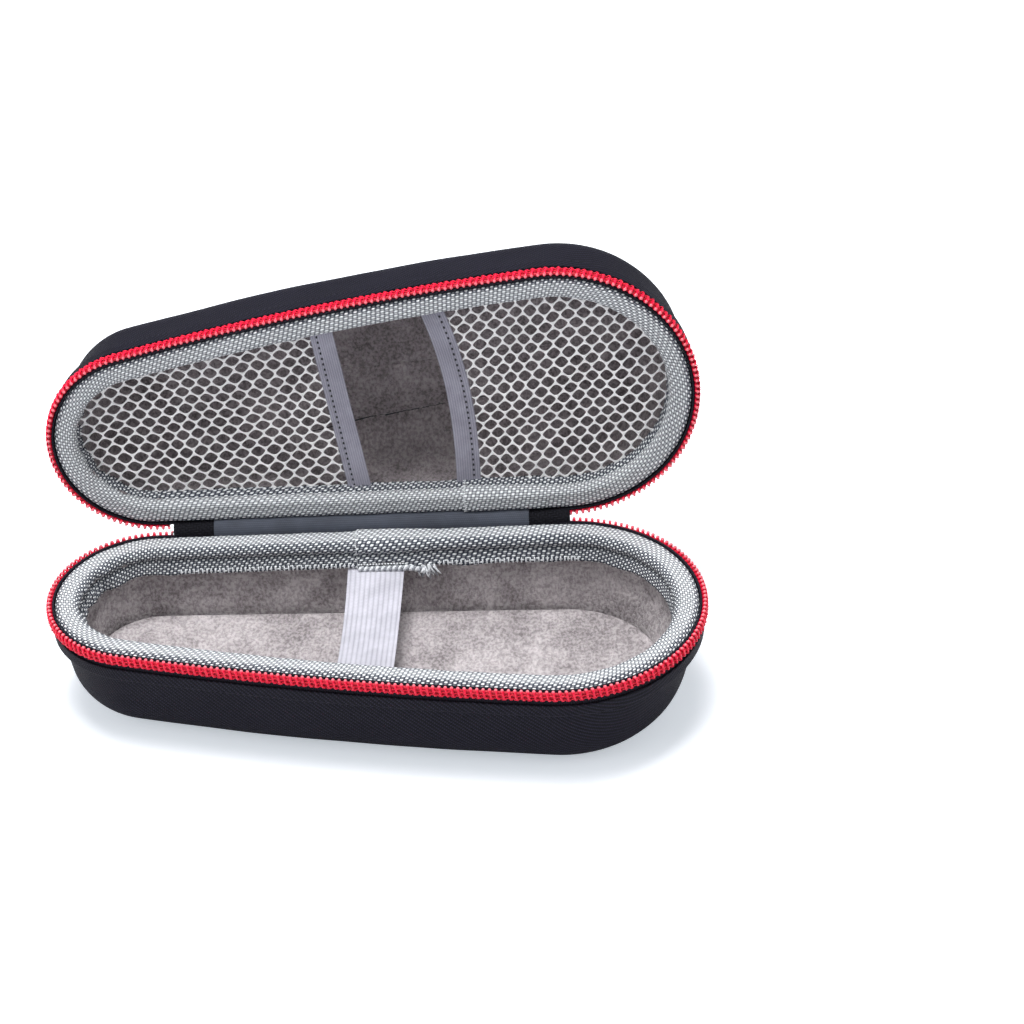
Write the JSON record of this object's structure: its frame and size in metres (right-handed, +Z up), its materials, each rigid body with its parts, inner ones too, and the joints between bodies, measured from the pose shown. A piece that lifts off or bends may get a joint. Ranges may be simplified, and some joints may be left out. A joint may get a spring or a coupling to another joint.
{
  "type": "travel hard case",
  "caption": "Teardrop clamshell hard case with a zip, a padded lined base with an elastic strap, and two net pockets in its lid.",
  "frame": {"origin": "on the table, under the middle of the base's outline at the zip", "axes": "+X along the hinge towards the wide end, -Y towards the user, +Z up"},
  "size_m": [0.1998, 0.1237, 0.1219],
  "materials": {
    "black_cover": "woven twill",
    "foam": "closed-cell foam",
    "fleece": "short brushed pile",
    "pad": "short brushed pile over a dense core",
    "grey_binding": "basket weave",
    "black_tape": "woven tape",
    "red_coil": "semi-gloss nylon",
    "grey_elastic": "ribbed elastic",
    "black_webbing": "woven webbing",
    "grey_ribbon": "plain ribbon",
    "white_net": "knitted net",
    "black_metal": "satin lacquer"
  },
  "bodies": {
    "base": {"base_outer_cover": "black_cover", "base_foam_shell": "foam", "base_lining": "fleece", "base_floor_pad": "pad", "base_rim_binding": "grey_binding", "base_zip_tape": "black_tape", "base_zip_coil": "red_coil", "elastic_strap": "grey_elastic", "zip_tail_tape": "black_tape", "zip_tail_chain": "red_coil", "zip_end_stop": "black_metal", "hinge_webbing": "black_webbing", "hinge_inner_ribbon": "grey_ribbon"},
    "lid": {"lid_outer_cover": "black_cover", "lid_foam_shell": "foam", "lid_lining": "fleece", "lid_rim_binding": "grey_binding", "lid_zip_tape": "black_tape", "lid_zip_coil": "red_coil", "left_mesh_pocket": "white_net", "left_pocket_elastic": "grey_elastic", "right_mesh_pocket": "white_net", "right_pocket_elastic": "grey_elastic"},
    "zip_slider": {"zip_slider_body": "black_metal", "slider_crown": "black_metal"},
    "pull_tab": {"pull_tab": "black_metal"}
  },
  "joints": [
    {"name": "lid_hinge", "type": "hinge", "parent": "base", "child": "lid", "pos_m": [0, 0.0435, 0.035], "axis": [-1, 0, 0], "range_deg": [-92, 58], "deforming": ["hinge_webbing", "hinge_inner_ribbon"]},
    {"name": "zip_slide", "type": "slide", "parent": "base", "child": "zip_slider", "axis": [-1, 0, 0], "range_m": [0, 0.012], "deforming": ["zip_tail_chain", "zip_tail_tape"]},
    {"name": "tab_hinge", "type": "hinge", "parent": "zip_slider", "child": "pull_tab", "pos_m": [-0.0448, 0.04728, 0.027], "axis": [0, 0, 1], "range_deg": [0, 180]}
  ]
}
